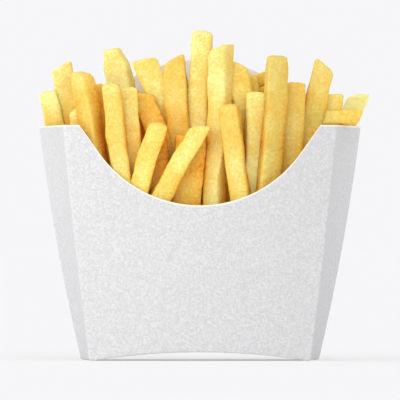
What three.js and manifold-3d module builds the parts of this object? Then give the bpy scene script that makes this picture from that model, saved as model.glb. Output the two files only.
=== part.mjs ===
// A large portion of french fries standing in a plain white scoop carton.
// Millimetres, +Z up. The carton's front faces -Y, and the origin is on the surface it stands on.
import * as THREE from "three";
import { ParametricGeometry } from "three/addons/geometries/ParametricGeometry.js";
import { mergeGeometries, mergeVertices } from "three/addons/utils/BufferGeometryUtils.js";
import Module from "manifold-3d";

const wasm = await Module();
wasm.setup();
const { lerp, degToRad, clamp, smoothstep } = THREE.MathUtils;

// ---- driving dimensions -------------------------------------------------------------------------

const BOARD = 0.5; // thickness of the paperboard
const EAR_HEIGHT = 101.5; // of the two corners beside the scoop
const FRONT_FOLD = { foot: 47.7, ear: 58.9, bow: 0.5 }; // half widths between the front folds
const BACK_FOLD = { foot: 51.9, ear: 70.2, bow: 1.4 }; // half widths between the back folds
const DEPTH = { foot: 35, ear: 46 }; // from the front folds to the back folds
const BULGE = { foot: 3.7, ear: 4.5 }; // how far the middle of the front and back stand out
const SIDE_DISH = 1.5; // how far the middle of a side panel is drawn in
const FOOT_ARCH = 3.7; // rise of the bottom between its two feet
const FOOT_FLAT = 0.959; // the share of the half width where the arch starts
const SCOOP = { radius: 53, centre: 119.9, reach: 54.5 }; // the front's cut: mm, mm up, degrees each way
const BACK_ARCH = { radius: 60, centre: 70.7 }; // the back panel's round top

const MIDDLE = { x: 2.4, y: 1.9 }; // the middle of the whole, from the middle of the carton's foot

const ARC_STEPS = 14; // facets along the scoop, and along the back's round top
const SIDE_STEPS = 5;
const WALL_STEPS = 8;

const LEVEL = 90; // the height at which a fry's place in the heap is given
const CRUST = 0.4; // how far a crust's bumps stand out at a fry's end
const FRY_FOOT = 50; // the long fries start here, inside the core
const STUB_FOOT = 60; // and the short ones between them here
const CORNER = 0.22; // a fry's cut corner, as a share of its thickness
const END_THICKNESS = 0.95; // the share of its thickness that a fry has at its end
const WALL_GAP = 0.9; // the least space between a short fry and the carton
const CORE_SIDE = 7; // the heap's core, in from the side panels
const CORE_LEVELS = [ // its height, and how far in from the front and back panels
  { z: 6, front: 8, back: 5 },
  { z: 34, front: 8, back: 5 },
  { z: 61, front: 8, back: 5 },
  { z: 65, front: 19, back: 5 },
  { z: 85, front: 19, back: 5 },
];

// ---- the carton -------------------------------------------------------------------------------

// The carton's plan at height z: half widths at the folds, half depth and bulge. The inset moves
// every panel inwards by that many millimetres, square to itself.
function plan(z, inset) {
  const rise = z / EAR_HEIGHT;
  const share = clamp(rise, 0, 1);
  const bow = 4 * share * (1 - share);
  const front = lerp(FRONT_FOLD.foot, FRONT_FOLD.ear, share) + FRONT_FOLD.bow * bow;
  const back = lerp(BACK_FOLD.foot, BACK_FOLD.ear, share) + BACK_FOLD.bow * bow;
  const depth = lerp(DEPTH.foot, DEPTH.ear, rise);
  const flare = Math.atan2(back - front, depth);
  const square = inset / Math.cos(flare);
  return {
    front: front - square + inset * Math.tan(flare),
    back: back - square - inset * Math.tan(flare),
    halfDepth: depth / 2 - inset,
    bulge: lerp(BULGE.foot, BULGE.ear, share),
  };
}

// A point of the carton: across runs from -1 at the left side to 1 at the right one, and deep from
// 0 at the front panel to 1 at the back panel.
function cartonPoint(across, deep, z, inset, target = new THREE.Vector3()) {
  const { front, back, halfDepth, bulge } = plan(z, inset);
  const half = lerp(front, back, deep) - 4 * SIDE_DISH * deep * (1 - deep);
  const panel = halfDepth + bulge * (1 - across * across);
  return target.set(across * half, lerp(-panel, panel, deep), z);
}

function footHeight(across) {
  return FOOT_ARCH * Math.max(0, 1 - (across / FOOT_FLAT) ** 2);
}

// The rim's points along one panel, left to right: the ear's flat top, then its cut or round top.
function rimPoints(foldHalf, edge) {
  const flat = foldHalf * FOOT_FLAT;
  const left = [[-foldHalf, EAR_HEIGHT], [-flat, EAR_HEIGHT]];
  return [...left, ...edge, ...left.reverse().map(([x, z]) => [-x, z])];
}

function arcPoints({ radius, centre }, reach, up) {
  return Array.from({ length: ARC_STEPS + 1 }, (_, i) => {
    const angle = degToRad(lerp(-reach, reach, i / ARC_STEPS));
    return [radius * Math.sin(angle), centre + up * radius * Math.cos(angle)];
  });
}

function scoopEdge() {
  const arc = arcPoints(SCOOP, SCOOP.reach, -1);
  const [x, z] = arc.at(-1);
  const mouth = x + (EAR_HEIGHT - z) / Math.tan(degToRad(SCOOP.reach));
  return [[-mouth, EAR_HEIGHT], ...arc, [mouth, EAR_HEIGHT]];
}

function archEdge() {
  const reach = THREE.MathUtils.radToDeg(Math.acos((EAR_HEIGHT - BACK_ARCH.centre) / BACK_ARCH.radius));
  const arc = arcPoints(BACK_ARCH, reach, 1);
  const ear = lerp(arc.at(-1)[0], BACK_FOLD.ear, 0.5);
  return [[-ear, EAR_HEIGHT], ...arc, [ear, EAR_HEIGHT]];
}

// The places around the carton where its skins have vertices: across, deep and the rim's height.
function rimStations() {
  const place = (deep, key) => ([x, z]) => ({ across: x / plan(z, 0)[key], deep, top: z });
  const front = rimPoints(FRONT_FOLD.ear, scoopEdge()).map(place(0, "front"));
  const back = rimPoints(BACK_FOLD.ear, archEdge()).map(place(1, "back"));
  const deeps = Array.from({ length: SIDE_STEPS - 1 }, (_, i) => (i + 1) / SIDE_STEPS);
  const side = (across) => deeps.map((deep) => ({ across, deep, top: EAR_HEIGHT }));
  return { front, back, ring: [...front, ...side(1), ...back.toReversed(), ...side(-1).toReversed()] };
}

// A patch of quads over a grid of whole numbers, with its faces turned over if asked.
function patch(columns, rows, place, turned) {
  const at = (u, v, target) => place(Math.round(u * columns), Math.round(v * rows), target);
  const geometry = new ParametricGeometry(at, columns, rows);
  geometry.deleteAttribute("normal");
  geometry.deleteAttribute("uv");
  if (turned) geometry.index.array.reverse();
  return geometry;
}

function wall({ ring }, inset, turned) {
  return patch(ring.length, WALL_STEPS, (column, row, target) => {
    const { across, deep, top } = ring[column % ring.length];
    const foot = (deep > 0 && deep < 1 ? 0 : footHeight(across)) + inset;
    return cartonPoint(across, deep, lerp(foot, top, row / WALL_STEPS), inset, target);
  }, turned);
}

function floor({ front, back }, inset, turned) {
  return patch(front.length - 1, SIDE_STEPS, (column, row, target) => {
    const deep = row / SIDE_STEPS;
    const across = lerp(front[column].across, back[column].across, deep);
    return cartonPoint(across, deep, footHeight(across) + inset, inset, target);
  }, turned);
}

function rimStrip({ ring }) {
  return patch(ring.length, 1, (column, row, target) => {
    const { across, deep, top } = ring[column % ring.length];
    return cartonPoint(across, deep, top, row * BOARD, target);
  }, false);
}

function cartonGeometry() {
  const stations = rimStations();
  const skins = [
    wall(stations, 0, false),
    wall(stations, BOARD, true),
    floor(stations, 0, true),
    floor(stations, BOARD, false),
    rimStrip(stations),
  ];
  return mergeVertices(mergeGeometries(skins), 1e-4);
}

// ---- the fries --------------------------------------------------------------------------------

// Each fry's axis passes x and y at LEVEL, or at its foot if that is higher. lean is in degrees to
// the right and tilt to the back, top is its highest point, and roll turns it about its own axis.
// cut slants its end, higher to the right, and bow bends it sideways at half its length. tip is the
// share of its width that it loses at its end. What a row leaves out is 0, and tip's is 0.05.
const LONG_FRIES = [
  // the left end of the heap
  {
    x: -60.2, y: 18.4, lean: -11, tilt: 3, top: 117.4,
    width: 8.6, thick: 6, roll: -14, cut: -4, bow: 0.2, tip: 0.1,
  },
  {
    x: -52.2, y: 18.6, lean: -12.4, tilt: 3, top: 129.3,
    width: 9.2, thick: 6.2, roll: -4, cut: 20, bow: -0.5,
  },
  { x: -50.4, y: -4, lean: -10, top: 109.6, width: 7, thick: 6, cut: 18 },
  {
    x: -45.8, y: -14.2, lean: -9, tilt: 1, top: 125.6,
    width: 8.2, thick: 8, roll: -42, cut: -20, bow: 0.5, tip: 0.12,
  },
  { x: -41.1, y: -3, lean: -8, top: 119.4, width: 6.8, thick: 7 },
  {
    x: -35.2, y: -19, lean: -6.4, tilt: -2, top: 119.8,
    width: 7.9, thick: 7.4, roll: -4, cut: -5, bow: 0.3,
  },
  {
    x: -25.8, y: 9, lean: -15.8, top: 135.4, width: 10.6,
    thick: 7.6, roll: -16, cut: -6, bow: -0.5, tip: 0.4,
  },
  { x: -29.3, y: -11, lean: -4, tilt: -1, top: 117.6, width: 8, thick: 7.4, bow: 0.3 },
  { x: -25.3, y: -1.5, lean: -8, top: 117, width: 8.2, thick: 7, roll: 8, cut: -6 },
  // between the left end and the tallest one
  { x: -15.7, y: -4, lean: -19.3, top: 117.8, width: 9.4, thick: 7, cut: -24 },
  { x: -6.6, y: -0.5, lean: -24, top: 131.2, width: 10.8, thick: 6.6, cut: -12, bow: -0.3 },
  { x: -8.9, y: -4.5, lean: -3.1, top: 133, width: 9.4, thick: 7.4, roll: -8, cut: 28, bow: 0.3 },
  { x: -1.9, y: -2.5, lean: 3.1, top: 142.3, width: 8.6, thick: 7.6, roll: -4, bow: 0.4 },
  {
    x: 7.2, y: -11, lean: 2.8, tilt: 2, top: 137.4,
    width: 8.3, thick: 8.2, roll: -32, cut: 18, bow: 0.4,
  },
  // in front, against the scoop
  { x: -21.3, y: -19.5, lean: 17.5, tilt: -3, top: 102.8, width: 8.4, thick: 7.4, roll: -8, cut: 4 },
  { x: -5.6, y: -20, lean: 30.3, tilt: -3, top: 103.4, width: 8.2, thick: 7, cut: 34 },
  { x: -4.4, y: -12, lean: 4, top: 97, width: 13, thick: 6.5 },
  { x: -18.6, y: -10.5, lean: -4, top: 98, width: 9, thick: 7, roll: 6 },
  {
    x: 14.7, y: -19, lean: -6.9, tilt: -2, top: 110.8,
    width: 8.3, thick: 7.4, roll: -12, cut: -4, bow: 0.2,
  },
  // the right end of the heap
  { x: 23.2, y: -11.5, lean: 2.3, top: 115.6, width: 8.4, thick: 7, roll: 6, bow: 0.3 },
  { x: 23, y: -5, lean: -10.9, tilt: 1, top: 131.8, width: 9.2, thick: 7, cut: -34 },
  { x: 24, y: 2, lean: -6.6, tilt: 1, top: 127, width: 8.6, thick: 7, cut: -30 },
  { x: 18.6, y: 8, lean: 70, top: 124.6, width: 5.6, thick: 6, foot: 118.4 },
  { x: 30, y: -16, lean: 4.7, tilt: 1, top: 131.9, width: 9, thick: 7.4, roll: 15, cut: 4, bow: 0.9 },
  { x: 39.1, y: -9, lean: 4.5, top: 120.2, width: 9.4, thick: 7.4, cut: 4, bow: 0.3, tip: 0.12 },
  { x: 45.1, y: -3, lean: 12.7, top: 130.2, width: 9.2, thick: 7.2, cut: -27, bow: 0.3 },
  { x: 54.4, y: 1, lean: 7.8, top: 116.2, width: 8.4, thick: 6, cut: 14, tip: 0.1 },
  { x: 57.6, y: 19.2, lean: 26, tilt: 2.5, top: 117.2, width: 8.2, thick: 5.6, cut: 29, bow: 0.2 },
  { x: 50.5, y: -2.5, lean: 88, top: 105.1, width: 6, thick: 6, cut: -18, foot: 104.4 },
  // along the back panel
  { x: -36.5, y: 18.8, lean: -7, tilt: 1, top: 113, width: 8.2, thick: 6.8, roll: -10, cut: 10 },
  { x: -25, y: 20, lean: 3, tilt: 1, top: 107, width: 8, thick: 7, cut: -8, bow: 0.5 },
  { x: -11.5, y: 20.5, lean: 1, tilt: 2, top: 119, width: 8, thick: 6.8, roll: 8, bow: 0.3 },
  { x: 7, y: 20, lean: 3, tilt: 2, top: 126, width: 8.4, thick: 7, roll: -6, cut: 6, bow: -0.5 },
  { x: 24.6, y: 19.8, lean: 3, tilt: 1, top: 119, width: 8, thick: 7, roll: 4 },
  { x: 34.4, y: 18.6, lean: 3, tilt: 1, top: 117, width: 8, thick: 6.8, cut: 14, bow: 0.6 },
  { x: 43.6, y: 15, lean: 4, tilt: 1, top: 112, width: 8.2, thick: 6.6, roll: -8 },
];

// Short fries fill the rows between the long ones.
const STUB_ROWS = { first: -13, last: 19, rows: 5, reach: 60, pitch: 8.6 };
const STUB = { width: 8, thick: 7.4, low: 90, high: 102, lean: 14, spread: 8.3, clear: 5, drop: 1.3 };
const SCOOP_CLEAR = { across: 42, front: -9 }; // none stands in front of this between the ears

// A repeatable draw between 0 and 1 for the numbered item and trait.
function draw(item, trait) {
  const wave = Math.sin(item * 12.9898 + trait * 78.233) * 43758.5453;
  return wave - Math.floor(wave);
}

function fryOutline(width, thick) {
  const cut = CORNER * thick;
  const [a, b] = [width / 2, thick / 2];
  const corners = [[a, b - cut], [a - cut, b], [cut - a, b], [-a, b - cut]];
  const all = [...corners, ...corners.map(([x, y]) => [-x, -y])];
  return new THREE.Shape(all.map(([x, y]) => new THREE.Vector2(x, y)));
}

// One fry in its place: a bar with cut corners, bowed, narrowed at its end, and slanted there.
function fryGeometry(fry, steps) {
  const { x, y, lean, top, width, thick } = fry;
  const { tilt = 0, roll = 0, cut = 0, bow = 0, tip = 0.05, foot = FRY_FOOT } = fry;
  const [slope, back] = [Math.tan(degToRad(lean)), Math.tan(degToRad(tilt))];
  const length = (top - foot) * Math.hypot(1, slope, back) + CRUST;
  const rings = steps === 1 ? [0, length] : [0, (length - width) / 2, length - width, length];
  const slant = Math.tan(degToRad(cut));
  const extrusion = { depth: steps, steps, bevelEnabled: false };
  const bar = new THREE.ExtrudeGeometry(fryOutline(width, thick), extrusion);
  bar.deleteAttribute("normal");
  bar.deleteAttribute("uv");
  const points = bar.attributes.position;
  for (let i = 0; i < points.count; i += 1) {
    const ring = Math.round(points.getZ(i));
    const atEnd = ring === steps;
    const bend = bow * Math.sin(Math.PI * rings[ring] / length);
    const across = points.getX(i) * (atEnd ? 1 - tip : 1) + bend;
    const deep = points.getY(i) * (atEnd ? END_THICKNESS : 1);
    const drop = atEnd ? slant * points.getX(i) - Math.abs(slant) * width / 2 : 0;
    points.setXYZ(i, across, deep, rings[ring] + drop);
  }
  bar.rotateZ(degToRad(roll));
  bar.rotateX(-Math.atan(back * Math.cos(degToRad(lean))));
  bar.rotateY(degToRad(lean));
  const below = Math.max(LEVEL - foot, 0);
  return bar.translate(x - below * slope, y - below * back, foot);
}

// The short fries' places: rows of evenly spaced ones, each drawn a little off its place, and left
// out where a long fry stands or the carton's wall is near.
function stubPlaces() {
  const places = [];
  for (let row = 0; row < STUB_ROWS.rows; row += 1) {
    const y = lerp(STUB_ROWS.first, STUB_ROWS.last, row / (STUB_ROWS.rows - 1));
    const columns = Math.floor((2 * STUB_ROWS.reach) / STUB_ROWS.pitch);
    for (let column = 0; column <= columns; column += 1) {
      const item = row * 40 + column;
      const x = -STUB_ROWS.reach + (column + 0.5 * (row % 2)) * STUB_ROWS.pitch + 2 * draw(item, 1) - 1;
      const crowded = LONG_FRIES.some((fry) => Math.hypot(fry.x - x, fry.y - y) < STUB.clear);
      const inScoop = Math.abs(x) < SCOOP_CLEAR.across && y < SCOOP_CLEAR.front;
      const fits = insideCarton(x, y, STUB.width / 2 + WALL_GAP);
      if (fits && !crowded && !inScoop) places.push({ x, y, item });
    }
  }
  return places;
}

function insideCarton(x, y, margin) {
  const { front, back, halfDepth } = plan(LEVEL, BOARD + margin);
  const half = lerp(front, back, (y + halfDepth) / (2 * halfDepth)) - SIDE_DISH;
  return Math.abs(y) < halfDepth && Math.abs(x) < half;
}

function stub({ x, y, item }) {
  const out = x / STUB_ROWS.reach;
  return {
    x,
    y,
    lean: STUB.spread * out + STUB.lean * (2 * draw(item, 2) - 1) * (1 - Math.abs(out)),
    tilt: 6 * (draw(item, 3) - 0.5),
    top: lerp(STUB.low, STUB.high, draw(item, 4)) + STUB.drop * Math.min(y, 0),
    width: STUB.width * lerp(0.85, 1.05, draw(item, 5)),
    thick: STUB.thick * lerp(0.85, 1.05, draw(item, 6)),
    roll: 30 * (draw(item, 7) - 0.5),
    cut: 24 * (draw(item, 8) - 0.5),
    foot: STUB_FOOT,
  };
}

// The packed inside of the heap: the carton's own plan, smaller all round, and set back behind the
// fries that stand in the scoop.
function coreGeometry() {
  const [columns, rows] = [10, CORE_LEVELS.length - 1];
  const even = (count, place) => Array.from({ length: count }, (_, i) => place(i / count));
  const ring = [
    ...even(columns, (t) => [lerp(-1, 1, t), 0]),
    ...even(2, (t) => [1, t]),
    ...even(columns, (t) => [lerp(1, -1, t), 1]),
    ...even(2, (t) => [-1, 1 - t]),
  ];
  const place = ([across, deep], { z, front, back }, target) => {
    cartonPoint(across, deep, z, 0, target);
    return target.set(target.x - across * CORE_SIDE, target.y + lerp(front, -back, deep), z);
  };
  const side = patch(ring.length, rows, (column, row, target) =>
    place(ring[column % ring.length], CORE_LEVELS[row], target), false);
  const cap = (level, turned) => patch(columns, 2, (column, row, target) =>
    place([lerp(-1, 1, column / columns), row / 2], level, target), turned);
  const skins = [side, cap(CORE_LEVELS[0], true), cap(CORE_LEVELS.at(-1), false)];
  return mergeVertices(mergeGeometries(skins), 1e-4);
}

function solidOf(geometry) {
  const merged = mergeVertices(geometry, 1e-4);
  return new wasm.Manifold(new wasm.Mesh({
    numProp: 3,
    vertProperties: merged.attributes.position.array,
    triVerts: new Uint32Array(merged.index.array),
  }));
}

// The solid without the small hollows that its pieces close between them.
function outerSkin(solid) {
  return solid.decompose().reduce((most, body) => (body.volume() > most.volume() ? body : most));
}

function friesGeometry() {
  const long = LONG_FRIES.map((fry) => fryGeometry(fry, 3));
  const short = stubPlaces().map((place) => fryGeometry(stub(place), 1));
  const heap = [...long, ...short].reduce((sum, fry) => sum.add(solidOf(fry)), solidOf(coreGeometry()));
  const { vertProperties, triVerts } = outerSkin(heap).getMesh();
  const geometry = new THREE.BufferGeometry();
  geometry.setAttribute("position", new THREE.BufferAttribute(vertProperties, 3));
  return geometry.setIndex(new THREE.BufferAttribute(triVerts, 1));
}

// ---- the part ---------------------------------------------------------------------------------

function named(name, geometry, material) {
  const mesh = new THREE.Mesh(geometry, new THREE.MeshStandardMaterial(material));
  mesh.name = name;
  return mesh;
}

const portion = new THREE.Group();
portion.add(named("carton", cartonGeometry(), { color: 0xf1f1f2, roughness: 0.85, metalness: 0 }));
portion.add(named("fries", friesGeometry(), { color: 0xf6cd5c, roughness: 0.55, metalness: 0 }));

portion.position.set(-MIDDLE.x, -MIDDLE.y, 0);

export default portion;
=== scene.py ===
"""A large portion of french fries in a plain scoop carton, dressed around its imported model."""

import math
from collections import namedtuple
from functools import partial

import bmesh
import bpy
import numpy as np
from bpy.props import FloatProperty, FloatVectorProperty, PointerProperty
from mathutils import Matrix, Vector


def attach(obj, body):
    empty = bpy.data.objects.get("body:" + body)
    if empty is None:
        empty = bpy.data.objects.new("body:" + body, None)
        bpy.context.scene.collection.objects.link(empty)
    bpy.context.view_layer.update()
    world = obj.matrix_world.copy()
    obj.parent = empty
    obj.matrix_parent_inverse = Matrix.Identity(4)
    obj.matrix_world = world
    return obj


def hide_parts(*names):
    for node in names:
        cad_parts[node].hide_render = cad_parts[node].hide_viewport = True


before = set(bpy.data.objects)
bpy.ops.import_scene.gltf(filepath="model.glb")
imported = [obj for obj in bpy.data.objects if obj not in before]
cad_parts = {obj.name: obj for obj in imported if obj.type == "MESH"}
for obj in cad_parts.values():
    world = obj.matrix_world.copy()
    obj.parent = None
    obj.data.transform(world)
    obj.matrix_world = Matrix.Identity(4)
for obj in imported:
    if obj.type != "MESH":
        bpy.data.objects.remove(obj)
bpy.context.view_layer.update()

bl_info = {
    "name": "Fries in a carton",
    "version": (1, 0, 0),
    "blender": (4, 5, 0),
    "location": "3D View > Sidebar > Fries",
    "description": "Makes a scoop carton, the fries standing in it, and a plain stage",
    "category": "Object",
}

MM = 0.001

# ---- sizes and colours --------------------------------------------------------------------------


def length(name, description, millimetres):
    """A size in metres, with its default given in millimetres."""
    return FloatProperty(name=name, description=description, default=millimetres * MM,
                         precision=5, unit="LENGTH")


def share(name, description, value):
    """A part of something, where 1 is all of it."""
    return FloatProperty(name=name, description=description, default=value, subtype="FACTOR")


def angle(name, description, degrees):
    """An angle, with its default given in degrees."""
    return FloatProperty(name=name, description=description, default=math.radians(degrees),
                         subtype="ANGLE")


def linear(*levels):
    """Screen levels from 0 to 255 as the linear numbers that shaders take."""
    return tuple(
        level / 255 / 12.92 if level / 255 <= 0.04045 else ((level / 255 + 0.055) / 1.055) ** 2.4
        for level in levels
    )


def colour(name, description, *levels):
    """A colour, with its default given in screen levels."""
    return FloatVectorProperty(name=name, description=description, default=linear(*levels),
                               subtype="COLOR", min=0, max=1)


class CartonSize(bpy.types.PropertyGroup):
    """The carton: its plan at the foot and at the ears, its cuts and its folds."""

    board: length("Board", "Thickness of the paperboard", 0.5)
    ear_height: length("Ear height", "Height of the two corners beside the scoop", 101.5)
    front_foot: length("Front foot", "Half width between the front folds at the foot", 47.7)
    front_ear: length("Front ear", "Half width between the front folds at the ears", 58.9)
    front_bow: length("Front bow", "How far the front folds curve out at half height", 0.5)
    back_foot: length("Back foot", "Half width between the back folds at the foot", 51.9)
    back_ear: length("Back ear", "Half width between the back folds at the ears", 70.2)
    back_bow: length("Back bow", "How far the back folds curve out at half height", 1.4)
    foot_depth: length("Foot depth", "From the front folds to the back folds at the foot", 35)
    ear_depth: length("Ear depth", "From the front folds to the back folds at the ears", 46)
    foot_bulge: length("Foot bulge", "How far the foot's middle stands out", 3.7)
    ear_bulge: length("Ear bulge", "How far the middle stands out at the ears", 4.5)
    side_dish: length("Side dish", "How far the middle of a side panel is drawn in", 1.5)
    foot_arch: length("Foot arch", "Rise of the bottom between its two feet", 3.7)
    foot_flat: share("Foot flat", "Share of the half width where the arch starts", 0.959)
    scoop_radius: length("Scoop radius", "Radius of the front's round cut", 53)
    scoop_centre: length("Scoop centre", "Height of that cut's centre", 119.9)
    scoop_reach: angle("Scoop reach", "Where the round cut runs out into straight ones", 54.5)
    arch_radius: length("Arch radius", "Radius of the back panel's round top", 60)
    arch_centre: length("Arch centre", "Height of that top's centre", 70.7)
    fold: length("Fold", "Radius of the creased folds", 0.7)
    edge: length("Edge", "Rounding of the board's cut edge", 0.22)
    # painted highlight: how far a band of the cut edge's cream colour is painted down the board
    rim_highlight_reach: length("Fray", "How far the cut edge's paler fibres reach down the board", 0.9)


class CartonFinish(bpy.types.PropertyGroup):
    """The paperboard's colours and grain, and the painted highlights along its creases and below
    its cut edge.
    """

    board: colour("Board", "Colour of the uncoated white board", 220, 220, 220)
    cloud: colour("Cloud", "Its colour where the pulp is thinner", 203, 203, 203)
    lining: colour("Lining", "Colour of the board's smooth inner side", 243, 244, 246)
    # the cut edge's colour is partly its fibres' own and partly a painted warm highlight
    cut: colour("Cut edge", "Colour of the board's cut edge", 255, 244, 224)
    pulp: length("Pulp", "Width of the clouds in the board's pulp", 1.4)
    fibre: length("Fibre", "Width of the flecks of its fibre", 0.7)
    mottle: share("Mottle", "How strongly each of them changes the board's shade", 2.1)
    # painted highlight: how much paler the board is painted along its folds and its foot's edge
    crease_highlight: share("Rubbing", "How much thicker the pulp looks on a rubbed crease", 0.3)


class FrySize(bpy.types.PropertyGroup):
    """The form that all the fries share, and the painted shade deep in the heap and on their
    flanks.
    """

    end: length("End", "Rounding of a fry's cut end", 1.5)
    sink: share("Sink", "How far a face sinks in its middle, as a share of its half width", 0.03)
    thin: share("Thin", "The most that a fry thins towards its end", 0.1)
    # painted shade: the fries are painted browner deep in the heap, where shade falls
    deep_shade: share("Deepen", "How much browner the fries are deep in the heap", 0.55)
    # painted shade: browner on the faces towards the neighbours, where they shade each other
    flank_shade: share("Flank", "How much browner a fry is on the faces towards its neighbours", 0.55)
    wander: length("Wander", "How far a fry strays from a straight line", 0.4)
    lumps: length("Lumps", "Depth of the long swellings", 0.8)
    wrinkles: length("Wrinkles", "Depth of the crust's wrinkles", 0.5)
    blisters: length("Blisters", "Depth of its finest relief in the mesh", 0.3)


class FryFinish(bpy.types.PropertyGroup):
    """The crust's colours, from its palest to its brownest, and how they are mixed."""

    pale: colour("Pale", "Crust that has hardly browned", 255, 244, 162)
    yellow: colour("Yellow", "Lightly fried crust", 251, 223, 122)
    golden: colour("Golden", "Fully fried crust", 249, 208, 94)
    orange: colour("Orange", "Well browned crust", 247, 184, 62)
    # brown is also where the painted shade deep in the heap and on the heap's core ends up
    brown: colour("Brown", "The brownest crust, deep in the heap", 232, 142, 36)
    dry: colour("Dry", "What dulls a crust that has dried", 232, 232, 224)
    patch: length("Patch", "Width of the largest patches in the crust's tone", 11)
    blotch: length("Blotch", "Width of the blotches in them", 3.4)
    fleck: length("Fleck", "Width of the finest flecks", 1.1)
    patchy: share("Patchy", "How much the patches change the tone", 0.35)
    blotchy: share("Blotchy", "How much the blotches change it", 0.36)
    flecked: share("Flecked", "How much the flecks change it", 0.85)


class StageSize(bpy.types.PropertyGroup):
    """The floor, the lights and the camera."""

    floor: length("Floor", "Width of the floor", 40000)
    shade: colour("Shade", "Colour of the floor and of the room's light", 246, 246, 248)
    dim: share("Dim", "The room's light from behind, next to the backdrop's brightness", 0.68)
    bright: share("Bright", "The room's light from the front left, next to the same", 1.34)
    bounce: share("Bounce", "How much of the room's light the floor returns", 0.74)
    key: FloatProperty(name="Key", description="Power of the soft key light", default=0.155,
                       unit="POWER")
    key_size: length("Key size", "Width of that light", 200)
    key_reach: length("Key reach", "From it to the point it is aimed at", 240)
    rim: FloatVectorProperty(name="Rim", size=2, default=(0.013, 0.0115),
                             description="Power of the left side's light and the right's")
    rim_size: length("Rim size", "Width of those lights", 90)
    rim_reach: length("Rim reach", "From them to the point they are aimed at", 150)
    distance: length("Distance", "From the camera to the middle of the carton", 3500)
    height: length("Height", "Height of the camera", 56.3)
    aim: length("Aim", "Height of the point it looks at", 69.2)
    view: length("View", "Width of what it sees at the carton's front", 172)
    front: length("Front", "From the carton's middle to its front", 22)


# ---- the heap -----------------------------------------------------------------------------------

MIDDLE = Vector((2.4, 1.9, 0)) * MM  # the middle of the whole, from the middle of the carton's foot

# All lengths from here to the next heading are in millimetres.
LEVEL = 90  # the height at which a fry's place in the heap is given
FRY_FOOT = 50  # the long fries start at this height
STUB_FOOT = 60  # and the short ones between them at this one

# A fry's axis passes x and y at LEVEL, or at its foot if that is higher. lean is in degrees to the
# right and tilt to the back, and roll turns it about its own axis. cut slants its end, higher to
# the right, and bow bends it sideways at half its length. tone runs from 0, pale, to 1, brown, tip
# is the share of its width that it loses at its end, and dull is how dull its crust has dried.
Fry = namedtuple("Fry", "x y lean tilt top width thick roll cut bow tone tip dull foot",
                 defaults=(0.05, 0, FRY_FOOT))

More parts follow.
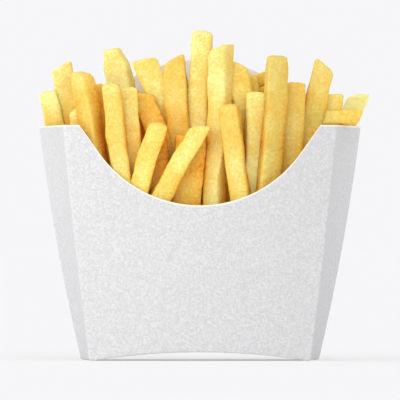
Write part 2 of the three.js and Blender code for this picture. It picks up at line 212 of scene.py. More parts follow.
LONG_FRIES = [
    # the left end of the heap
    Fry(-60.2, 18.4, -11, 3, 117.4, 8.6, 6, -14, -4, 0.2, -0.05, 0.1, 0.25),
    Fry(-52.2, 18.6, -12.4, 3, 129.3, 9.2, 6.2, -4, 20, -0.5, 0.24, 0.05, 0.3),
    Fry(-50.4, -4, -10, 0, 109.6, 7, 6, 0, 18, 0, 0.15),
    Fry(-45.8, -14.2, -9, 1, 125.6, 8.2, 8, -42, -20, 0.5, 0.39, 0.12, 0.45),
    Fry(-41.1, -3, -8, 0, 119.4, 6.8, 7, 0, 0, 0, 0.45),
    Fry(-35.2, -19, -6.4, -2, 119.8, 7.9, 7.4, -4, -5, 0.3, 0.22, 0.05, 0.5),
    Fry(-25.8, 9, -15.8, 0, 135.4, 10.6, 7.6, -16, -6, -0.5, 0.12, 0.4),
    Fry(-29.3, -11, -4, -1, 117.6, 8, 7.4, 0, 0, 0.3, 0.24),
    Fry(-25.3, -1.5, -8, 0, 117, 8.2, 7, 8, -6, 0, 0.66),
    # between the left end and the tallest one
    Fry(-15.7, -4, -19.3, 0, 117.8, 9.4, 7, 0, -24, 0, 0.48),
    Fry(-6.6, -0.5, -24, 0, 131.2, 10.8, 6.6, 0, -12, -0.3, 0.2),
    Fry(-8.9, -4.5, -3.1, 0, 133, 9.4, 7.4, -8, 28, 0.3, 0.38, 0.05, 0.4),
    Fry(-1.9, -2.5, 3.1, 0, 142.3, 8.6, 7.6, -4, 0, 0.4, 0.13, 0.05, 0.25),
    Fry(7.2, -11, 2.8, 2, 137.4, 8.3, 8.2, -32, 18, 0.4, 0.12, 0.05, 0.3),
    # in front, against the scoop
    Fry(-21.3, -19.5, 17.5, -3, 102.8, 8.4, 7.4, -8, 4, 0, 0.28),
    Fry(-5.6, -20, 30.3, -3, 103.4, 8.2, 7, 0, 34, 0, 0.28),
    Fry(-4.4, -12, 4, 0, 97, 13, 6.5, 0, 0, 0, 0.56),
    Fry(-18.6, -10.5, -4, 0, 98, 9, 7, 6, 0, 0, 0.68),
    Fry(14.7, -19, -6.9, -2, 110.8, 8.3, 7.4, -12, -4, 0.2, 0.27, 0.03, 0.45),
    # the right end of the heap
    Fry(23.2, -11.5, 2.3, 0, 115.6, 8.4, 7, 6, 0, 0.3, 0.1),
    Fry(23, -5, -10.9, 1, 131.8, 9.2, 7, 0, -34, 0, 0.2),
    Fry(24, 2, -6.6, 1, 127, 8.6, 7, 0, -30, 0, 0.28),
    Fry(18.6, 8, 70, 0, 124.6, 5.6, 6, 0, 0, 0, 0.4, foot=118.4),
    Fry(30, -16, 4.7, 1, 131.9, 9, 7.4, 15, 4, 0.9, 0.28, 0.04, 1),
    Fry(39.1, -9, 4.5, 0, 120.2, 9.4, 7.4, 0, 4, 0.3, 0.3, 0.12, 0.4),
    Fry(45.1, -3, 12.7, 0, 130.2, 9.2, 7.2, 0, -27, 0.3, 0.28, 0, 0.4),
    Fry(54.4, 1, 7.8, 0, 116.2, 8.4, 6, 0, 14, 0, 0.2, 0.1),
    Fry(57.6, 19.2, 26, 2.5, 117.2, 8.2, 5.6, 0, 29, 0.2, -0.4, 0),
    Fry(50.5, -2.5, 88, 0, 105.1, 6, 6, 0, -18, 0, 0.24, 0, foot=104.4),
    # along the back panel
    Fry(-36.5, 18.8, -7, 1, 113, 8.2, 6.8, -10, 10, 0, 0.25),
    Fry(-25, 20, 3, 1, 107, 8, 7, 0, -8, 0.5, 0.45),
    Fry(-11.5, 20.5, 1, 2, 119, 8, 6.8, 8, 0, 0.3, 0.2),
    Fry(7, 20, 3, 2, 126, 8.4, 7, -6, 6, -0.5, 0.35),
    Fry(24.6, 19.8, 3, 1, 119, 8, 7, 4, 0, 0, 0.5),
    Fry(34.4, 18.6, 3, 1, 117, 8, 6.8, 0, 14, 0.6, 0.35),
    Fry(43.6, 15, 4, 1, 112, 8.2, 6.6, -8, 0, 0, 0.25),
]

STUB_ROWS, STUB_FRONT, STUB_BACK = 5, -13, 19  # the rows of short fries, and their first and last y
STUB_REACH, STUB_PITCH = 60, 8.6  # how far a row reaches to either side, and the step along it
STUB_NUMBERS = 40  # as many numbers are kept for the fries of each row
STUB_JITTER, JITTER_DRAW = 1, 1  # how far one stands off its place, and the number of that draw

# What a short fry draws next, in this order: the lowest and the highest value of each trait.
STUB_DRAWS = {"lean": (-14, 14), "tilt": (-3, 3), "top": (90, 102), "width": (6.8, 8.4),
              "thick": (6.29, 7.77), "roll": (-15, 15), "cut": (-12, 12), "tone": (0.1, 0.45)}
STUB_SPREAD = 8.3  # how far the outermost ones lean out, in degrees
STUB_DROP = 1.3  # how much lower one is for each millimetre that it stands before the middle

WALL_GAP = 4.9  # the least space from a short fry's axis to the carton
FRY_GAP = 5  # and to a long fry's axis
SCOOP_HALF, SCOOP_DEPTH = 42, -9  # none stands behind the scoop: half its width, and up to this y

# The heap's core: how far in it is from the side panels, and at each height how far in from the
# front panel and from the back panel.
CORE_SIDE = 7
CORE_LEVELS = [(6, 8, 5), (34, 8, 5), (61, 8, 5), (65, 19, 5), (85, 19, 5)]

DRAW_WAVE = (12.9898, 78.233, 43758.5453)  # uneven enough for draws that look random


def draw(item, trait):
    """A repeatable draw between 0 and 1 for the numbered item and trait."""
    wave = math.sin(item * DRAW_WAVE[0] + trait * DRAW_WAVE[1]) * DRAW_WAVE[2]
    return wave - math.floor(wave)


# ---- hand tools ---------------------------------------------------------------------------------

WELD = 0.01 * MM  # corners closer than this become one


def lerp(low, high, share_of_way):
    return low + (high - low) * share_of_way


def hump(share_of_way):
    """0 at both ends of the way and 1 in its middle."""
    return 4 * share_of_way * (1 - share_of_way)


def dimmed(shade, share_left):
    """A colour with only that share of its light."""
    return tuple(share_left * level for level in shade)


def select_only(*pieces):
    bpy.ops.object.select_all(action="DESELECT")
    for piece in pieces:
        piece.select_set(True)
    bpy.context.view_layer.objects.active = pieces[0]


def pick_edges(piece, test):
    """In edit mode, selects the edges that pass a test."""
    bpy.ops.mesh.select_mode(type="EDGE")
    bpy.ops.mesh.select_all(action="DESELECT")
    mesh = bmesh.from_edit_mesh(piece.data)
    for edge in mesh.edges:
        if test(edge):
            edge.select_set(True)
    bmesh.update_edit_mesh(piece.data)


def weld():
    """In edit mode, joins the corners that meet and turns every face outwards."""
    bpy.ops.mesh.select_all(action="SELECT")
    bpy.ops.mesh.remove_doubles(threshold=WELD)
    bpy.ops.mesh.normals_make_consistent(inside=False)


def join(name, pieces):
    """One piece of that name, made of all of these."""
    select_only(*pieces)
    if len(pieces) > 1:
        bpy.ops.object.join()
    piece = bpy.context.view_layer.objects.active
    piece.name = piece.data.name = name
    return piece


def add_modifier(piece, kind, **values):
    """Adds a modifier with its values and applies it."""
    select_only(piece)
    modifier = piece.modifiers.new(kind.title(), kind)
    for key, value in values.items():
        setattr(modifier, key, value)
    bpy.ops.object.modifier_apply(modifier=modifier.name)


def relief(piece, name, grain, depth):
    """Raises and sinks a piece's skin by a cloudy pattern of that grain, without swelling it."""
    pattern = bpy.data.textures.new(name, "CLOUDS")
    pattern.noise_scale = grain
    pattern.noise_basis = "IMPROVED_PERLIN"
    pattern.noise_depth = 1
    add_modifier(piece, "DISPLACE", texture=pattern, texture_coords="LOCAL", mid_level=0.5,
                 strength=depth)


def mark(piece, name, values):
    """Gives each point of a piece a value of that name, which its material reads."""
    piece.data.attributes.new(name, "FLOAT", "POINT").data.foreach_set("value", values)


def finish_piece(piece, node, slot, *materials):
    for material in materials:
        piece.data.materials.append(material)
    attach(piece, "root")
    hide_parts(node)


# ---- materials ----------------------------------------------------------------------------------


class Shading:
    """A material's nodes, each added with its values and linked by socket."""

    def __init__(self, name):
        self.material = bpy.data.materials.new(name)
        self.material.use_nodes = True
        self.tree = self.material.node_tree
        self.shader = self.tree.nodes["Principled BSDF"]
        self.place = self.add("ShaderNodeTexCoord").outputs["Object"]

    def add(self, kind, inputs=None, **values):
        node = self.tree.nodes.new(kind)
        for key, value in values.items():
            setattr(node, key, value)
        for key, value in (inputs or {}).items():
            self.set(node.inputs[key], value)
        return node

    def set(self, socket, value):
        if isinstance(value, bpy.types.NodeSocket):
            self.tree.links.new(value, socket)
        else:
            socket.default_value = value

    def noise(self, grain, detail=2, place=None):
        """A cloudy value around one half whose clouds are about grain metres wide."""
        inputs = {"Vector": place or self.place, "Scale": 1 / grain, "Detail": detail}
        return self.add("ShaderNodeTexNoise", inputs).outputs["Fac"]

    def attribute(self, name):
        return self.add("ShaderNodeAttribute", attribute_name=name).outputs["Fac"]

    def sum(self, first, second, factor):
        """first + (second - 0.5) * factor"""
        centred = self.add("ShaderNodeMath", {0: second, 1: 0.5}, operation="SUBTRACT").outputs[0]
        return self.add("ShaderNodeMath", {0: centred, 1: factor, 2: first},
                        operation="MULTIPLY_ADD").outputs[0]

    def ramp(self, value, stops):
        node = self.add("ShaderNodeValToRGB", {"Fac": value})
        stops_made = node.color_ramp.elements
        while len(stops_made) < len(stops):
            stops_made.new(0.5)
        for stop, (position, shade) in zip(stops_made, stops):
            stop.position = position
            stop.color = (*shade, 1)
        return node.outputs["Color"]

    def mixed(self, shade, other, factor, blend="MIX"):
        """The shade mixed with another one, by that factor of it."""
        node = self.add("ShaderNodeMix", {0: factor, 6: shade, 7: (*other, 1)}, data_type="RGBA",
                        blend_type=blend)
        return node.outputs[2]

    def between(self, value, low, high):
        inputs = {"Value": value, "To Min": low, "To Max": high}
        return self.add("ShaderNodeMapRange", inputs).outputs[0]

    def bump(self, height, distance, strength, under=None):
        inputs = {"Height": height, "Distance": distance, "Strength": strength}
        if under:
            inputs["Normal"] = under
        return self.add("ShaderNodeBump", inputs).outputs["Normal"]

    def finish(self, **inputs):
        """Sets the shader's inputs, in small letters with underscores, and gives the material."""
        for key, value in inputs.items():
            self.set(self.shader.inputs[key.replace("_", " ").title().replace("Ior", "IOR")], value)
        return self.material


EVEN_BOARD = 0.55  # how thick the board's pulp is on the whole, between thin at 0 and thick at 1
CUT_FIBRE = 0.5 * MM  # width of the fibres in its cut edge
CUT_FLECK = 0.93  # how much light a dark fibre keeps there
LINING_CLOUD = 0.95  # and a thinner place in the lining


def board_material(name, finish, thick, thin):
    """White board: faint clouds of thicker and thinner pulp, a finer fibre, and painted highlights
    along the creases and below the cut edge.
    """
    nodes = Shading(name)
    cloud, fibre = nodes.noise(finish.pulp, detail=3), nodes.noise(finish.fibre)
    mix = nodes.sum(nodes.sum(EVEN_BOARD, cloud, finish.mottle), fibre, finish.mottle)
    # painted highlight: the board is painted paler along its folds and its foot's edge
    mix = nodes.sum(mix, nodes.attribute("fold"), finish.crease_highlight)
    shade = nodes.ramp(mix, [(0.0, thin), (1.0, thick)])
    # painted highlight: the cut edge's cream runs a little way down the board
    shade = nodes.mixed(shade, finish.cut, nodes.attribute("rim"))
    waves = nodes.bump(cloud, distance=0.1 * MM, strength=0.35)
    tooth = nodes.bump(fibre, distance=0.06 * MM, strength=0.5, under=waves)
    return nodes.finish(base_color=shade, roughness=0.88, specular_ior_level=0.25, normal=tooth)


def cut_edge_material(finish):
    """The board's cut edge, where its fibres show, in a colour that is partly their own and partly
    a painted warm highlight.
    """
    nodes = Shading("cut_edge")
    fibre = nodes.noise(CUT_FIBRE)
    shade = nodes.ramp(fibre, [(0.3, dimmed(finish.cut, CUT_FLECK)), (0.7, finish.cut)])
    return nodes.finish(base_color=shade, roughness=0.95, specular_ior_level=0.15,
                        normal=nodes.bump(fibre, distance=0.08 * MM, strength=0.6))


def crust_material(name, finish, tone=None):
    """Fried potato: a crust mottled from pale to brown, around each fry's own tone, which carries
    painted shade, or that one.
    """
    nodes = Shading(name)
    patch, blotch, fleck = (nodes.noise(finish.patch), nodes.noise(finish.blotch, detail=3),
                            nodes.noise(finish.fleck, detail=3))
    mix = nodes.sum(nodes.attribute("tone") if tone is None else tone, patch, finish.patchy)
    mix = nodes.sum(mix, blotch, finish.blotchy)
    mix = nodes.sum(mix, fleck, finish.flecked)
    stops = [(0.0, finish.pale), (0.25, finish.yellow), (0.5, finish.golden),
             (0.75, finish.orange), (1.0, finish.brown)]
    crust = nodes.mixed(nodes.ramp(mix, stops), finish.dry, nodes.attribute("dull"), "MULTIPLY")
    waves = nodes.bump(blotch, distance=1.2 * MM, strength=0.3)
    skin = nodes.bump(fleck, distance=0.6 * MM, strength=0.8, under=waves)
    return nodes.finish(base_color=crust, roughness=nodes.between(blotch, low=0.45, high=0.7),
                        specular_ior_level=0.2, subsurface_weight=0.5,
                        subsurface_radius=(4, 2.2, 0.7), subsurface_scale=1 * MM, normal=skin)


# ---- the carton ---------------------------------------------------------------------------------

ARC_STEPS = 56  # columns along the scoop, and along the back's round top
EAR_STEPS = 6  # along the straight edge of one ear
SIDE_STEPS = 14  # along a side panel
WALL_ROWS = 36
FOLD_ANGLE = math.radians(35)  # an edge sharper than this is a fold
SMOOTH_ANGLE = math.radians(32)  # and one flatter than this is shaded smooth
CREASE_HIGHLIGHT_REACH = 0.9 * MM  # how far from a fold the painted highlight along it reaches
FOOT_HIGHLIGHT_OFFSET = 0.4 * MM  # the painted highlight on the foot's edge is weaker, as if it were this much further off
CUT_EDGE, LINING = 1, 2  # the places of their materials among the carton's, after the outer board


def plan(size, z):
    """The carton's plan at height z: half widths at the folds, half depth and bulge."""
    rise = z / size.ear_height
    part = min(max(rise, 0), 1)
    return (
        lerp(size.front_foot, size.front_ear, part) + size.front_bow * hump(part),
        lerp(size.back_foot, size.back_ear, part) + size.back_bow * hump(part),
        lerp(size.foot_depth, size.ear_depth, rise) / 2,
        lerp(size.foot_bulge, size.ear_bulge, part),
    )


def carton_point(size, across, deep, z):
    """A point of the carton's outside: across runs from -1 to 1, and deep from 0 in front to 1."""
    front, back, half_depth, bulge = plan(size, z)
    half = lerp(front, back, deep) - size.side_dish * hump(deep)
    panel = half_depth + bulge * (1 - across * across)
    return Vector((across * half, lerp(-panel, panel, deep), z)) - MIDDLE


def foot_height(size, across):
    """How high the arched bottom is there."""
    return size.foot_arch * max(0, 1 - (across / size.foot_flat) ** 2)


def arc(radius, centre, reach, up):
    """The top of a circle, where up is 1, or its bottom, where it is -1, from left to right."""
    turns = [lerp(-reach, reach, step / ARC_STEPS) for step in range(ARC_STEPS + 1)]
    return [(radius * math.sin(turn), centre + up * radius * math.cos(turn)) for turn in turns]


def rim_stations(size):
    """The columns around the carton: across, deep and the rim's height."""
    scoop = arc(size.scoop_radius, size.scoop_centre, size.scoop_reach, -1)
    end_x, end_z = scoop[-1]
    mouth = end_x + (size.ear_height - end_z) / math.tan(size.scoop_reach)
    reach = math.acos((size.ear_height - size.arch_centre) / size.arch_radius)
    top = arc(size.arch_radius, size.arch_centre, reach, 1)

    def panel(fold_half, first_half, edge, deep, key):
        ear = [(lerp(fold_half, first_half, step / EAR_STEPS), size.ear_height)
               for step in range(EAR_STEPS)]
        rim = [(-x, z) for x, z in ear] + edge + ear[::-1]
        return [(x / plan(size, z)[key], deep, z) for x, z in rim]

    shoulder = top[-1][0] + size.board
    scoop_edge = [(-mouth, size.ear_height), *scoop, (mouth, size.ear_height)]
    arch_edge = [(-shoulder, size.ear_height), *top, (shoulder, size.ear_height)]
    front = panel(size.front_ear, mouth, scoop_edge, 0, 0)
    back = panel(size.back_ear, shoulder, arch_edge, 1, 1)
    side = [(step + 1) / SIDE_STEPS for step in range(SIDE_STEPS - 1)]
    right = [(1, deep, size.ear_height) for deep in side]
    left = [(-1, deep, size.ear_height) for deep in side]
    return front, back, front + right + back[::-1] + left[::-1]


def grid_piece(name, columns, rows, place):
    """A grid primitive with each corner moved to its place, given by whole column and row."""
    bpy.ops.mesh.primitive_grid_add(x_subdivisions=columns, y_subdivisions=rows, size=2)
    piece = bpy.context.view_layer.objects.active
    piece.name = name
    for vertex in piece.data.vertices:
        column, row = (round((at + 1) / 2 * cells) for at, cells in zip(vertex.co, (columns, rows)))
        vertex.co = place(column, row)
    return piece


def carton_skin(size):
    """The carton's outer skin: a wall rolled round its plan, and the arched bottom."""
    front, back, ring = rim_stations(size)

    def wall_place(column, row):
        across, deep, top = ring[column % len(ring)]
        foot = 0 if 0 < deep < 1 else foot_height(size, across)
        # the row under the top stands at the painted highlight's reach below it
        height = top if row == WALL_ROWS else lerp(foot, top - size.rim_highlight_reach, row / (WALL_ROWS - 1))
        return carton_point(size, across, deep, height)

    def floor_place(column, row):
        deep = row / SIDE_STEPS
        across = lerp(front[column][0], back[column][0], deep)
        return carton_point(size, across, deep, foot_height(size, across))

    wall = grid_piece("wall", len(ring), WALL_ROWS, wall_place)
    floor = grid_piece("bottom", len(front) - 1, SIDE_STEPS, floor_place)
    return wall, floor


def crease_highlight_share(size, place):
    """How much of the painted highlight along the creases a point of the carton takes: 1 on a
    crease and 0 away from one.
    """
    point = place + MIDDLE
    front, back, half_depth, _ = plan(size, point.z)
    folds = [Vector((side * half, depth)) for side in (-1, 1)
             for half, depth in ((front, -half_depth), (back, half_depth))]
    gap = min((point.xy - fold).length for fold in folds)
    foot_gap = max(point.z - foot_height(size, point.x / front), 0) + FOOT_HIGHLIGHT_OFFSET
    return math.exp(-((min(gap, foot_gap) / CREASE_HIGHLIGHT_REACH) ** 2))


class FRIES_OT_carton(bpy.types.Operator):
    """Folds the scoop carton from one sheet of board"""

    bl_idname = "fries.carton"
    bl_label = "Carton"

    def execute(self, context):
        size, finish = context.scene.carton_size, context.scene.carton_finish
        carton = join("scoop_carton", carton_skin(size))
        self.crease(size)
        thin_lining = dimmed(finish.lining, LINING_CLOUD)
        finish_piece(carton, "carton", "paperboard",
                     board_material("white_board", finish, finish.board, finish.cloud),
                     cut_edge_material(finish),
                     board_material("lining", finish, finish.lining, thin_lining))
        add_modifier(carton, "SOLIDIFY", thickness=size.board, offset=-1, use_even_offset=True,
                     material_offset_rim=CUT_EDGE, material_offset=LINING)
        self.round_rim(carton, size)
        points = carton.data.vertices
        # the painted highlight along the folds, which the board's material reads
        mark(carton, "fold", [crease_highlight_share(size, point.co) for point in points])
        # painted highlight: the points of the cut edge, from which the board's material paints its
        # cream
        faces = [face for face in carton.data.polygons if face.material_index == CUT_EDGE]
        cut = {corner for face in faces for corner in face.vertices}
        mark(carton, "rim", [point.index in cut for point in points])
        bpy.ops.object.shade_smooth_by_angle(angle=SMOOTH_ANGLE)
        return {"FINISHED"}

    def crease(self, size):
        """Rounds the folds of the outer skin."""
        bpy.ops.object.mode_set(mode="EDIT")
        weld()
        bpy.ops.mesh.select_all(action="DESELECT")
        bpy.ops.mesh.edges_select_sharp(sharpness=FOLD_ANGLE)
        bpy.ops.mesh.bevel(offset=size.fold, segments=3, affect="EDGES")
        bpy.ops.object.mode_set(mode="OBJECT")

    def round_rim(self, carton, size):
        """Rounds both corners of the board's cut edge."""

        def bounds_cut_edge(edge):
            return sum(face.material_index == CUT_EDGE for face in edge.link_faces) == 1

        bpy.ops.object.mode_set(mode="EDIT")
        pick_edges(carton, bounds_cut_edge)
        bpy.ops.mesh.bevel(offset=size.edge, segments=2, affect="EDGES", material=CUT_EDGE)
        bpy.ops.object.mode_set(mode="OBJECT")


# ---- the fries ----------------------------------------------------------------------------------

SIDES = 32  # around a fry
LONG_RINGS = 78  # along a long fry
SHORT_RINGS = 34  # along a short one
BURIED = 0.08  # the share of those rings that are below BURIED_HEIGHT, where nothing shows
BURIED_HEIGHT = 64
CAP_RINGS = (0.97, 0.94, 0.91, 0.88, 0.66, 0.44, 0.22)  # widths of the rings over its cut end
ROUNDING = 0.88  # one that is wider than this belongs to the end's rounding
CROWD = 0.4  # how much a ring's corners crowd towards the fry's edges
SQUARENESS = 7  # the power that makes a fry's section nearly square
CROWN = 0.25  # how far the middle of its cut end stands up, in millimetres
TIP_WIDTHS, CUT_WIDTHS = 0.9, 1.6  # over how many widths it thins, and its cut slants it
RIGHT_FACE_SHADE = 0.15  # painted shade: how much browner the face on its right, away from the key light, is than the one on its left
DEEP_SHADE_HEIGHTS, DEEP_SHADE_DEPTHS = (119, 90), (-8, 2)  # where the painted shade deep in the heap starts and is full
FLANK_SHADE_HEIGHTS = (128, 92)  # and the same heights for the painted shade on the faces towards the neighbours
RELIEF = {"lumps": 8 * MM, "wrinkles": 2.6 * MM, "blisters": 1.3 * MM}  # width of each form

# Draws of single values: the least and the most, and the number of the draw.
END_SHARE, END_DRAW = (0.8, 1.3), 11  # the rounding of a fry's end, next to the set one
THIN_SHARE, THIN_DRAW = (0, 1), 14  # how much it thins, next to the most that is set
CROSS_SLOPE, CROSS_DRAW = (-0.15, 0.15), 16  # the slope of its cut from front to back

# How a fry strays along its length: the number of the draw, the length of the wave in millimetres,
# and how far it goes either way.
SWAYS = {
    "width": (12, 45, 0.035),
    "thickness": (13, 40, 0.04),
    "squareness": (15, 40, 2),
    "place across": (17, 55, 1),  # as a share of the wander
    "place in depth": (18, 65, 1),
    "twist": (19, 80, math.radians(7)),
    "tone": (20, 45, 0.1),
}
SLOW_SHARE = 0.65  # how much of each is that wave, and the rest is a quicker one
QUICK_SPAN = 0.37  # the quicker one's length, next to the slower one's


def bar_blank(rings):
    """A unit bar: a cylinder cut into rings, the last of which are drawn in as a cap on its top."""
    radii = [1] * (rings + 1) + [*CAP_RINGS, 0]
    cells = len(radii) - 1
    bpy.ops.mesh.primitive_cylinder_add(vertices=SIDES, radius=1, depth=cells,
                                        end_fill_type="NOTHING", location=(0, 0, cells / 2))
    bar = bpy.context.view_layer.objects.active
    bpy.ops.object.transform_apply(location=True)
    bpy.ops.object.mode_set(mode="EDIT")
    pick_edges(bar, lambda edge: not edge.is_boundary)
    bpy.ops.mesh.subdivide_edgering(number_cuts=cells - 1, interpolation="LINEAR")
    pick_edges(bar, lambda edge: edge.is_boundary and edge.verts[0].co.z < 0.5)
    bpy.ops.mesh.edge_face_add()
    pick_edges(bar, lambda edge: edge.is_boundary)
    bpy.ops.mesh.merge(type="CENTER")
    bpy.ops.mesh.select_all(action="SELECT")
    bpy.ops.mesh.normals_make_consistent(inside=False)
    bpy.ops.object.mode_set(mode="OBJECT")
    for vertex in bar.data.vertices:
        ring = round(vertex.co.z)
        vertex.co = (radii[ring] * vertex.co.x, radii[ring] * vertex.co.y, min(ring / rings, 1))
    return bar


def sway(kind, along, item):
    """A smooth wander along a fry, drawn from its number."""
    trait, span, depth = SWAYS[kind]
    slow = np.sin(2 * np.pi * (along / span + draw(item, trait)))
    quick = np.sin(2 * np.pi * (along / (QUICK_SPAN * span) + draw(item, trait + 0.5)))
    return depth * (SLOW_SHARE * slow + (1 - SLOW_SHARE) * quick)


def smooth(value, start, full):
    """0 up to the start and 1 from where it is full, with a smooth rise between."""
    part = np.clip((value - start) / (full - start), 0, 1)
    return part * part * (3 - 2 * part)


def upright_fry(unit, turn, stretch, fry, item, size):
    """The unit bar's points as one upright fry, and how far along it each point's ring is."""
    long = (fry.top - fry.foot) * stretch
    buried = max((BURIED_HEIGHT - fry.foot) * stretch, BURIED * long)
    end = size.end / MM * lerp(*END_SHARE, draw(item, END_DRAW))
    step = unit[:, 2]
    along = np.where(step < BURIED, buried * step / BURIED,
                     lerp(buried, long - end, (step - BURIED) / (1 - BURIED)))

    tip = smooth(along, long - TIP_WIDTHS * fry.width, long)
    half_width = fry.width / 2 * (1 + sway("width", along, item)) * (1 - fry.tip * tip)
    half_thick = fry.thick / 2 * (1 + sway("thickness", along, item))
    half_thick *= 1 - size.thin * lerp(*THIN_SHARE, draw(item, THIN_DRAW)) * tip
    power = SQUARENESS + sway("squareness", along, item)
    cos, sin = np.cos(turn), np.sin(turn)
    radius = (np.abs(cos) ** power + np.abs(sin) ** power) ** (-1 / power)
    radius = radius * (1 - size.sink * np.cos(2 * turn) ** 2) / (1 - size.sink)

    reach = np.hypot(unit[:, 0], unit[:, 1])
    rounding = np.clip((1 - reach) / (1 - ROUNDING), 0, 1) * math.pi / 2
    inset = end * (1 - np.cos(rounding))
    inner = np.minimum(reach / ROUNDING, 1)
    x = radius * cos * (half_width - inset) * inner
    y = radius * sin * (half_thick - inset) * inner
    z = along + end * np.sin(rounding) + CROWN * (1 - inner**2)

    cut = math.tan(math.radians(fry.cut))
    cross = lerp(*CROSS_SLOPE, draw(item, CROSS_DRAW))
    slant = smooth(along, long - CUT_WIDTHS * fry.width, long - end)
    z = z + slant * (cut * x - abs(cut) * fry.width / 2 + cross * y - abs(cross) * fry.thick / 2)
    wander = size.wander / MM
    x = x + fry.bow * np.sin(np.pi * along / long) + wander * sway("place across", along, item)
    y = y + wander * sway("place in depth", along, item)
    return x, y, z, along


def shape_fry(unit, fry, item, size):
    """The unit bar's points as one fry in its place, and the tone at each of them, with painted
    shade on its right face, deep in the heap and on its faces towards its neighbours.
    """
    slope, back = math.tan(math.radians(fry.lean)), math.tan(math.radians(fry.tilt))
    turn = np.arctan2(unit[:, 1], unit[:, 0])
    turn = turn + CROWD * np.sin(4 * turn) / 4
    x, y, z, along = upright_fry(unit, turn, math.hypot(1, slope, back), fry, item, size)

    twist = math.radians(fry.roll) + sway("twist", along, item)
    x, y = x * np.cos(twist) - y * np.sin(twist), x * np.sin(twist) + y * np.cos(twist)
    tilt = Matrix.Rotation(-math.atan(back * math.cos(math.radians(fry.lean))), 3, "X")
    turned = Matrix.Rotation(math.radians(fry.lean), 3, "Y") @ tilt
    points = np.stack([x, y, z], axis=1) @ np.array(turned).T
    drop = max(LEVEL - fry.foot, 0)
    points += (fry.x - drop * slope, fry.y - drop * back, fry.foot)

    facing = np.cos(turn + twist)  # 1 on the face to the right, and -1 on the one to the left
    depth, height = points[:, 1], points[:, 2]
    # painted shade: browner on the right face, deep in the heap and on the faces towards the
    # neighbours
    tone = fry.tone + RIGHT_FACE_SHADE * np.clip(facing, 0, 1) + sway("tone", along, item)
    tone += size.deep_shade * smooth(height, *DEEP_SHADE_HEIGHTS) * smooth(depth, *DEEP_SHADE_DEPTHS)
    tone += size.flank_shade * facing**4 * smooth(height, *FLANK_SHADE_HEIGHTS)
    return points * MM - np.array(MIDDLE), tone


def plant(name, blank, fries, size):
    """A copy of the blank for each fry, each shaped in its place, all joined."""
    unit = np.empty((len(blank.data.vertices), 3))
    blank.data.vertices.foreach_get("co", unit.ravel())
    pieces = []
    for item, fry in fries:
        piece = blank.copy()
        piece.data = blank.data.copy()
        bpy.context.collection.objects.link(piece)
        points, tone = shape_fry(unit, fry, item, size)
        piece.data.vertices.foreach_set("co", points.ravel())
        mark(piece, "tone", tone)
        mark(piece, "dull", np.full(len(tone), fry.dull))
        pieces.append(piece)
    bpy.data.objects.remove(blank)
    return join(name, pieces)


def make_fries(context, name, rings, fries, crust):
    """Makes all the fries of one kind as one piece with a crust of that name."""
    size = context.scene.fry_size
    piece = plant(name, bar_blank(rings), fries, size)
    for form, grain in RELIEF.items():
        relief(piece, form, grain, getattr(size, form))
    bpy.ops.object.shade_smooth()
    finish_piece(piece, "fries", "fried_potato", crust_material(crust, context.scene.fry_finish))


class FRIES_OT_long_fries(bpy.types.Operator):
    """Stands the long fries in the carton"""

    bl_idname = "fries.long_fries"
    bl_label = "Long fries"

    def execute(self, context):
        make_fries(context, "long_fries", LONG_RINGS, enumerate(LONG_FRIES), "crust")
        return {"FINISHED"}


def inside_carton(size, x, y, margin):
    """Whether a short fry at x and y, in millimetres, stands clear of the carton's walls."""
    front, back, half_depth, _ = (value / MM for value in plan(size, LEVEL * MM))
    inset = size.board / MM + margin
    flare = math.atan2(back - front, 2 * half_depth)
    front += inset * math.tan(flare) - inset / math.cos(flare)
    back -= inset * math.tan(flare) + inset / math.cos(flare)
    half_depth -= inset
    half = lerp(front, back, (y + half_depth) / (2 * half_depth)) - size.side_dish / MM
    return abs(y) < half_depth and abs(x) < half


def stub(x, y, item):
    """The short fry at x and y, its other traits drawn from its number."""
    numbered = enumerate(STUB_DRAWS.items(), start=JITTER_DRAW + 1)
    traits = {name: lerp(*ends, draw(item, number)) for number, (name, ends) in numbered}
    out = x / STUB_REACH
    traits["lean"] = STUB_SPREAD * out + traits["lean"] * (1 - abs(out))
    traits["top"] += STUB_DROP * min(y, 0)
    return Fry(x, y, bow=0, foot=STUB_FOOT, **traits)


def stubs(size):
    """The short fries: rows of evenly spaced ones, each drawn a little off its place, and left out
    where a long fry stands or the carton's wall is near."""
    columns = math.floor(2 * STUB_REACH / STUB_PITCH)
    for row in range(STUB_ROWS):
        y = lerp(STUB_FRONT, STUB_BACK, row / (STUB_ROWS - 1))
        for column in range(columns + 1):
            item = row * STUB_NUMBERS + column
            x = -STUB_REACH + (column + 0.5 * (row % 2)) * STUB_PITCH
            x += lerp(-STUB_JITTER, STUB_JITTER, draw(item, JITTER_DRAW))
            taken = any(math.hypot(fry.x - x, fry.y - y) < FRY_GAP for fry in LONG_FRIES)
            taken = taken or abs(x) < SCOOP_HALF and y < SCOOP_DEPTH
            if not taken and inside_carton(size, x, y, WALL_GAP):
                yield item, stub(x, y, item)


class FRIES_OT_short_fries(bpy.types.Operator):
    """Fills the rows between the long fries with short ones"""

    bl_idname = "fries.short_fries"
    bl_label = "Short fries"

    def execute(self, context):
        fries = stubs(context.scene.carton_size)
        make_fries(context, "short_fries", SHORT_RINGS, fries, "inner_crust")
        return {"FINISHED"}


CORE_ACROSS, CORE_DEEP = 24, 8  # cells from side to side of the core, and from front to back
CRUMBS, CRUMB_DEPTH = 5 * MM, 3 * MM  # width and height of its relief
CORE_SHADE_TONE = 0.95  # nearly the brownest, painted as the shade between the fries


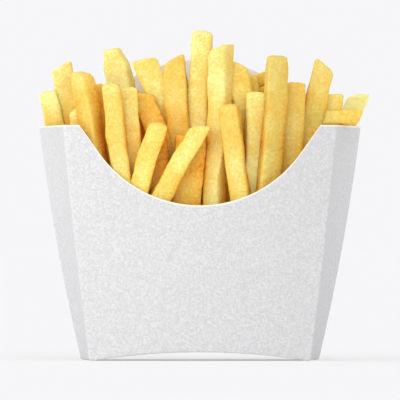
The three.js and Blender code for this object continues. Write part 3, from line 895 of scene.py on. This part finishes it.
class FRIES_OT_heap_core(bpy.types.Operator):
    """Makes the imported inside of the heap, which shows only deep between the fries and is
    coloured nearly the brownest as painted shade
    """

    bl_idname = "fries.heap_core"
    bl_label = "Heap core"

    def execute(self, context):
        size = context.scene.carton_size
        rows = len(CORE_LEVELS) - 1
        sides = [(lerp(-1, 1, step / CORE_ACROSS), 0) for step in range(CORE_ACROSS)]
        sides += [(1, step / CORE_DEEP) for step in range(CORE_DEEP)]
        sides += [(-across, 1 - deep) for across, deep in sides]

        def place(across, deep, level):
            z, front, back = CORE_LEVELS[level]
            point = carton_point(size, across, deep, z * MM)
            return point + Vector((-across * CORE_SIDE, lerp(front, -back, deep), 0)) * MM

        def wall_place(column, row):
            return place(*sides[column % len(sides)], row)

        def cap_place(level, column, row):
            return place(lerp(-1, 1, column / CORE_ACROSS), row / CORE_DEEP, level)

        wall = grid_piece("core_wall", len(sides), rows, wall_place)
        caps = [grid_piece("core_cap", CORE_ACROSS, CORE_DEEP, partial(cap_place, level))
                for level in (0, rows)]
        core = join("heap_core", [wall, *caps])
        bpy.ops.object.mode_set(mode="EDIT")
        weld()
        bpy.ops.mesh.subdivide(number_cuts=2)
        bpy.ops.object.mode_set(mode="OBJECT")
        relief(core, "crumbs", CRUMBS, CRUMB_DEPTH)
        bpy.ops.object.shade_smooth()
        # painted shade: the core is coloured as the deep shade between the fries
        finish_piece(core, "fries", "fried_potato",
                     crust_material("deep_shade_crust", context.scene.fry_finish, CORE_SHADE_TONE))
        return {"FINISHED"}


# ---- the stage ----------------------------------------------------------------------------------

LIGHT_AIM = Vector((0, 0, 70)) * MM  # the point inside the carton that the lights are aimed at
KEY_SIDE = Vector((-0.6, -0.8, 0.1)).normalized()  # the way from there to the key light
RIM_SIDES = [Vector((side, 0.45, 0.1)).normalized() for side in (-1, 1)]  # and to the rim lights
BRIGHT_SIDE = Vector((-0.35, -0.93, 0.1)).normalized()  # the way to where the room is brightest
FACED_SHARE = 2 / 3  # how much of the room's swing from bright to dim a flat surface takes up
FLOOR_SIDES = 96


class FRIES_OT_stage(bpy.types.Operator):
    """Lays the pale floor, lights the room softly and sets up the camera"""

    bl_idname = "fries.stage"
    bl_label = "Stage"

    def execute(self, context):
        stage = context.scene.stage_size
        left_out = bpy.data.collections.new("lit_by_room_alone")
        left_out.objects.link(self.lay_floor(stage))
        left_out.collection_objects[0].light_linking.link_state = "EXCLUDE"
        self.light_room(context, stage)
        for lamp in self.lamps(stage):
            self.set_light(*lamp).light_linking.receiver_collection = left_out
        self.set_camera(context, stage)
        context.scene.view_settings.view_transform = "Standard"
        return {"FINISHED"}

    def lay_floor(self, stage):
        """A round floor that glows just enough to match the room behind it."""
        bpy.ops.mesh.primitive_circle_add(vertices=FLOOR_SIDES, radius=stage.floor / 2,
                                          fill_type="TRIFAN")
        floor = bpy.context.view_layer.objects.active
        floor.name = "floor"
        returned = stage.bounce * self.room_light(stage, Vector((0, 0, 1)))
        pale_floor = Shading("pale_floor").finish(
            base_color=(*[stage.bounce] * 3, 1), roughness=1, specular_ior_level=0,
            emission_color=(*stage.shade, 1), emission_strength=1 - returned)
        floor.data.materials.append(pale_floor)
        return floor

    def room_light(self, stage, facing):
        """The room's light on a surface that faces that way, next to the backdrop's brightness."""
        mean, swing = (stage.bright + stage.dim) / 2, (stage.bright - stage.dim) / 2
        return mean + swing * BRIGHT_SIDE.dot(facing) * FACED_SHARE

    def light_room(self, context, stage):
        """A pale room, brighter towards the front left."""
        world = bpy.data.worlds.new("room")
        context.scene.world = world
        world.use_nodes = True
        nodes, links = world.node_tree.nodes, world.node_tree.links
        nodes["Background"].inputs["Color"].default_value = (*stage.shade, 1)
        toward = nodes.new("ShaderNodeVectorMath")
        toward.operation = "DOT_PRODUCT"
        toward.inputs[1].default_value = BRIGHT_SIDE
        links.new(nodes.new("ShaderNodeTexCoord").outputs["Generated"], toward.inputs[0])
        light = nodes.new("ShaderNodeMapRange")
        for socket, value in (("From Min", -1), ("To Min", stage.dim), ("To Max", stage.bright)):
            light.inputs[socket].default_value = value
        links.new(toward.outputs["Value"], light.inputs["Value"])
        strength = nodes.new("ShaderNodeMapRange")
        path = nodes.new("ShaderNodeLightPath")
        links.new(path.outputs["Is Camera Ray"], strength.inputs["Value"])
        links.new(light.outputs[0], strength.inputs["To Min"])
        links.new(strength.outputs[0], nodes["Background"].inputs["Strength"])

    def lamps(self, stage):
        """A soft key light at the front left and a weak one at each side."""
        yield "key_light", KEY_SIDE, stage.key_reach, stage.key_size, stage.key
        for side, power in zip(RIM_SIDES, stage.rim):
            yield "rim_light", side, stage.rim_reach, stage.rim_size, power

    def set_light(self, name, side, reach, size, power):
        """A soft square light that stands on that side and that far from what it is aimed at."""
        bpy.ops.object.light_add(type="AREA", location=LIGHT_AIM - MIDDLE + side * reach)
        light = bpy.context.view_layer.objects.active
        light.name = name
        light.rotation_euler = side.to_track_quat("Z", "Y").to_euler()
        light.data.energy = power
        light.data.size = size
        light.visible_camera = False
        return light

    def set_camera(self, context, stage):
        bpy.ops.object.camera_add()
        camera = bpy.context.view_layer.objects.active
        camera.name = "camera"
        climb = math.atan2(stage.aim - stage.height, stage.distance - stage.front)
        camera.location = (-MIDDLE.x, -stage.distance - MIDDLE.y, stage.height)
        camera.rotation_euler = (math.pi / 2 + climb, 0, 0)
        camera.data.lens = camera.data.sensor_width * (stage.distance - stage.front) / stage.view
        camera.data.clip_end = stage.floor
        context.scene.camera = camera


class FRIES_PT_portion(bpy.types.Panel):
    """The pieces of the portion, in the order they are made"""

    bl_label = "Fries in a carton"
    bl_space_type = "VIEW_3D"
    bl_region_type = "UI"
    bl_category = "Fries"

    def draw(self, context):
        for operator in OPERATORS:
            self.layout.operator(operator.bl_idname)
        for group in SETTINGS:
            box = self.layout.box()
            box.label(text=group.replace("_", " ").capitalize())
            settings = getattr(context.scene, group)
            for key in settings.__annotations__:
                box.prop(settings, key)


OPERATORS = (FRIES_OT_carton, FRIES_OT_long_fries, FRIES_OT_short_fries, FRIES_OT_heap_core,
             FRIES_OT_stage)
SETTINGS = {"carton_size": CartonSize, "carton_finish": CartonFinish, "fry_size": FrySize,
            "fry_finish": FryFinish, "stage_size": StageSize}


def register():
    for cls in (*SETTINGS.values(), *OPERATORS, FRIES_PT_portion):
        bpy.utils.register_class(cls)
    for name, group in SETTINGS.items():
        setattr(bpy.types.Scene, name, PointerProperty(type=group))


def unregister():
    for name in SETTINGS:
        delattr(bpy.types.Scene, name)
    for cls in (FRIES_PT_portion, *reversed(OPERATORS), *reversed(SETTINGS.values())):
        bpy.utils.unregister_class(cls)


def main():
    register()
    bpy.ops.object.select_all(action="DESELECT")
    bpy.ops.fries.carton()
    bpy.ops.fries.long_fries()
    bpy.ops.fries.short_fries()
    bpy.ops.fries.heap_core()
    bpy.ops.fries.stage()


if __name__ == "__main__":
    main()
